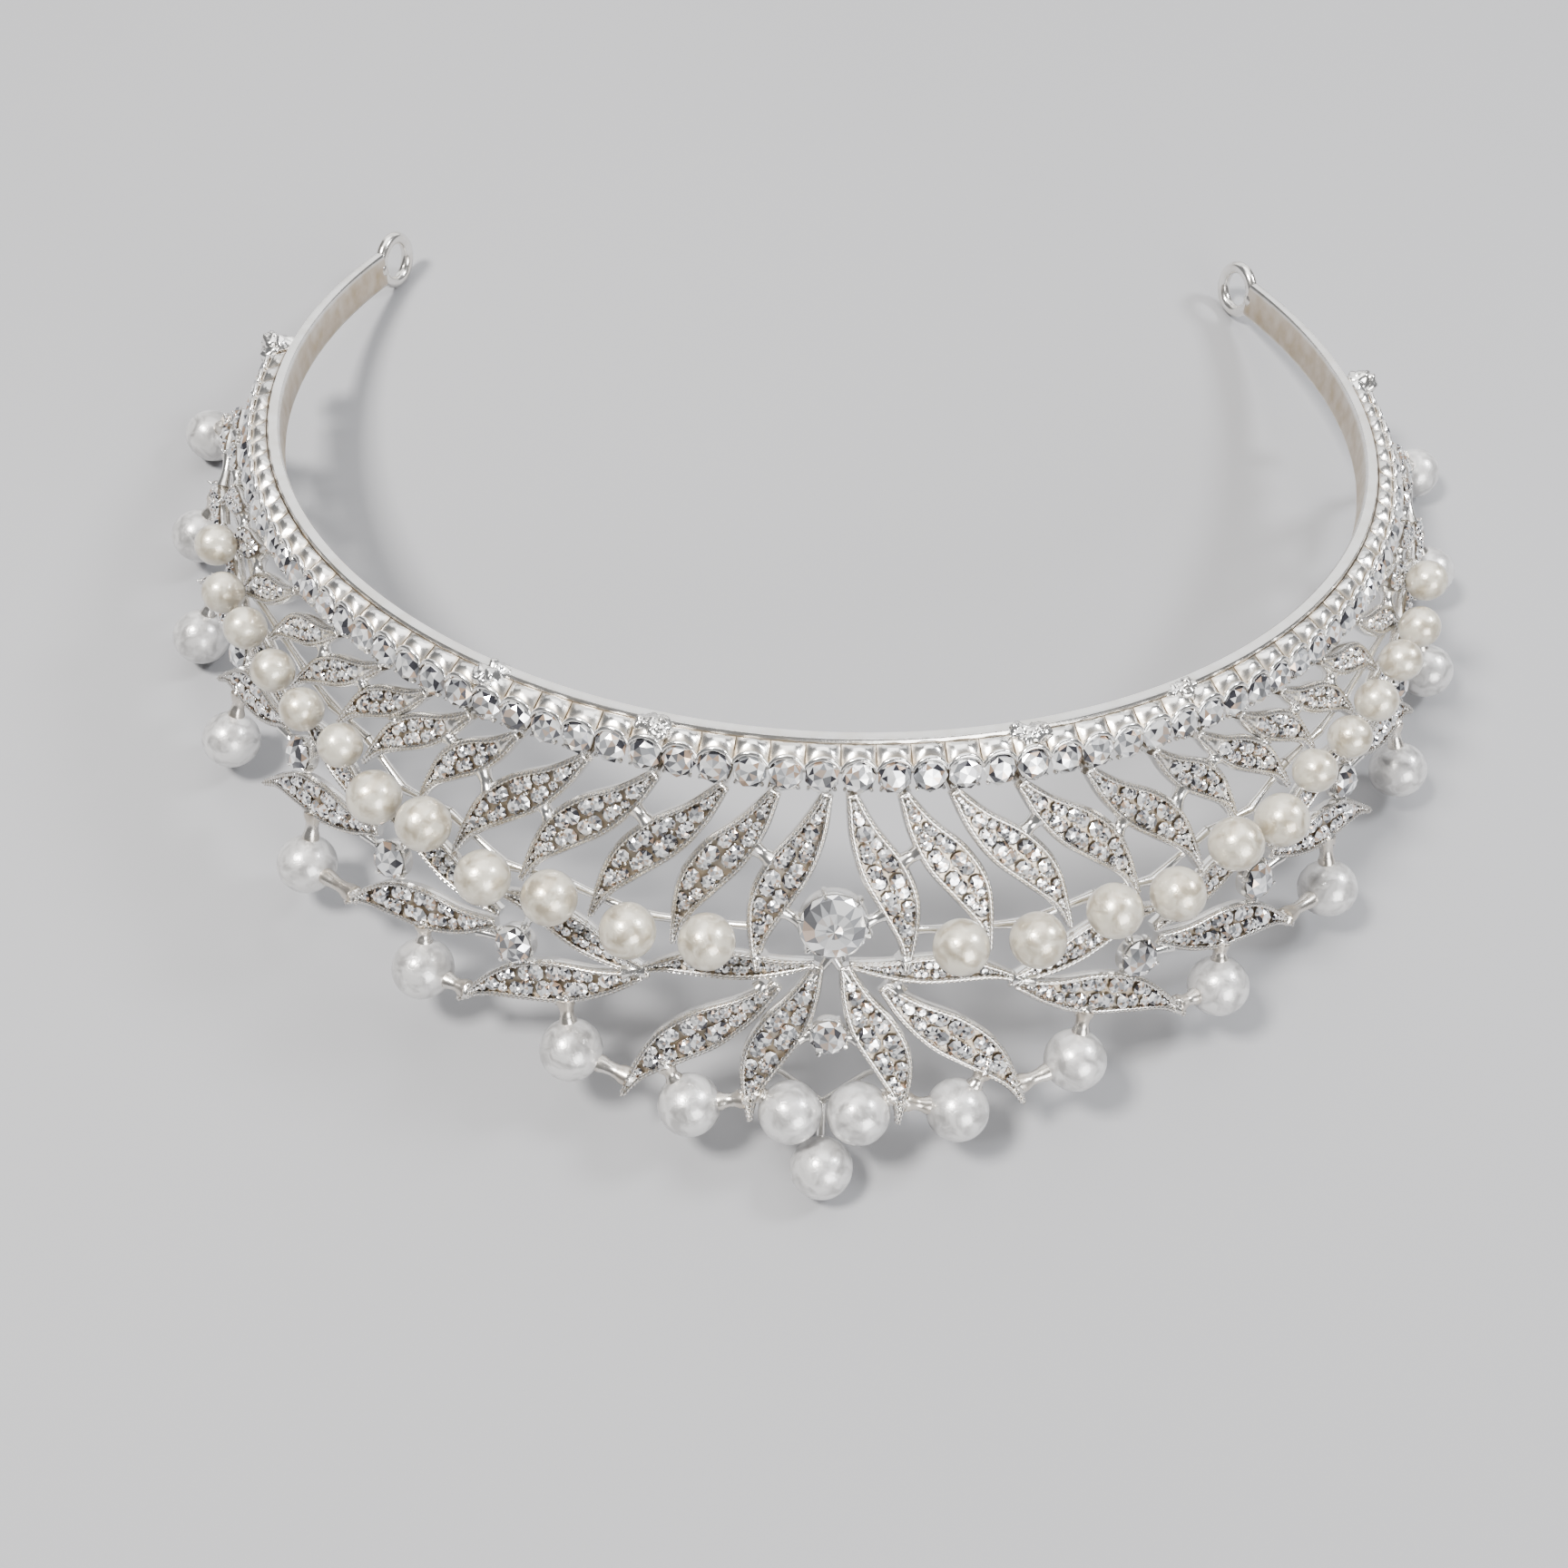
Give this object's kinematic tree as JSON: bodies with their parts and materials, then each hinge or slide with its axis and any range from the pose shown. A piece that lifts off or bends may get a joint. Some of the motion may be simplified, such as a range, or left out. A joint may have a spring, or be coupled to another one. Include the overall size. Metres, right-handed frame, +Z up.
{
  "type": "tiara",
  "caption": "Tiara of silver-coloured metal with pierced, stone-set leaves, a flared pearl rim, an inner row of pearls and a head band edged with round stones.",
  "frame": {"origin": "middle of the footprint, on the surface that the tiara lies on", "axes": "+X towards the wearer's side that is on the right of the picture, across the widest pearls; +Y from the pearl rim's point towards the open back of the band; +Z up. The tiara lies upside down on its pearl rim, with the band on top."},
  "size_m": [0.1736, 0.1402, 0.0387],
  "materials": {
    "silver_plate": "bright silver-coloured plate with a warm tint in the recesses",
    "pearl": "satin pearl lustre",
    "crystal": "clear cut stones with a silvered back"
  },
  "bodies": {
    "root": {"frame": "silver_plate", "stone_row": "crystal", "centre_stone": "crystal", "lower_stone": "crystal", "side_stone_right_1": "crystal", "side_stone_right_2": "crystal", "side_stone_right_3": "crystal", "side_stone_right_4": "crystal", "side_stone_right_5": "crystal", "side_stone_left_1": "crystal", "side_stone_left_2": "crystal", "side_stone_left_3": "crystal", "side_stone_left_4": "crystal", "side_stone_left_5": "crystal", "apex_pearl": "pearl", "rim_pearl_right_1": "pearl", "rim_pearl_right_2": "pearl", "rim_pearl_right_3": "pearl", "rim_pearl_right_4": "pearl", "rim_pearl_right_5": "pearl", "rim_pearl_right_6": "pearl", "rim_pearl_right_7": "pearl", "rim_pearl_right_8": "pearl", "rim_pearl_right_9": "pearl", "inner_pearl_right_1": "pearl", "inner_pearl_right_2": "pearl", "inner_pearl_right_3": "pearl", "inner_pearl_right_4": "pearl", "inner_pearl_right_5": "pearl", "inner_pearl_right_6": "pearl", "inner_pearl_right_7": "pearl", "inner_pearl_right_8": "pearl", "inner_pearl_right_9": "pearl", "inner_pearl_right_10": "pearl", "inner_pearl_right_11": "pearl", "inner_pearl_right_12": "pearl", "rim_pearl_left_1": "pearl", "rim_pearl_left_2": "pearl", "rim_pearl_left_3": "pearl", "rim_pearl_left_4": "pearl", "rim_pearl_left_5": "pearl", "rim_pearl_left_6": "pearl", "rim_pearl_left_7": "pearl", "rim_pearl_left_8": "pearl", "rim_pearl_left_9": "pearl", "inner_pearl_left_1": "pearl", "inner_pearl_left_2": "pearl", "inner_pearl_left_3": "pearl", "inner_pearl_left_4": "pearl", "inner_pearl_left_5": "pearl", "inner_pearl_left_6": "pearl", "inner_pearl_left_7": "pearl", "inner_pearl_left_8": "pearl", "inner_pearl_left_9": "pearl", "inner_pearl_left_10": "pearl", "inner_pearl_left_11": "pearl", "inner_pearl_left_12": "pearl"}
  },
  "joints": []
}
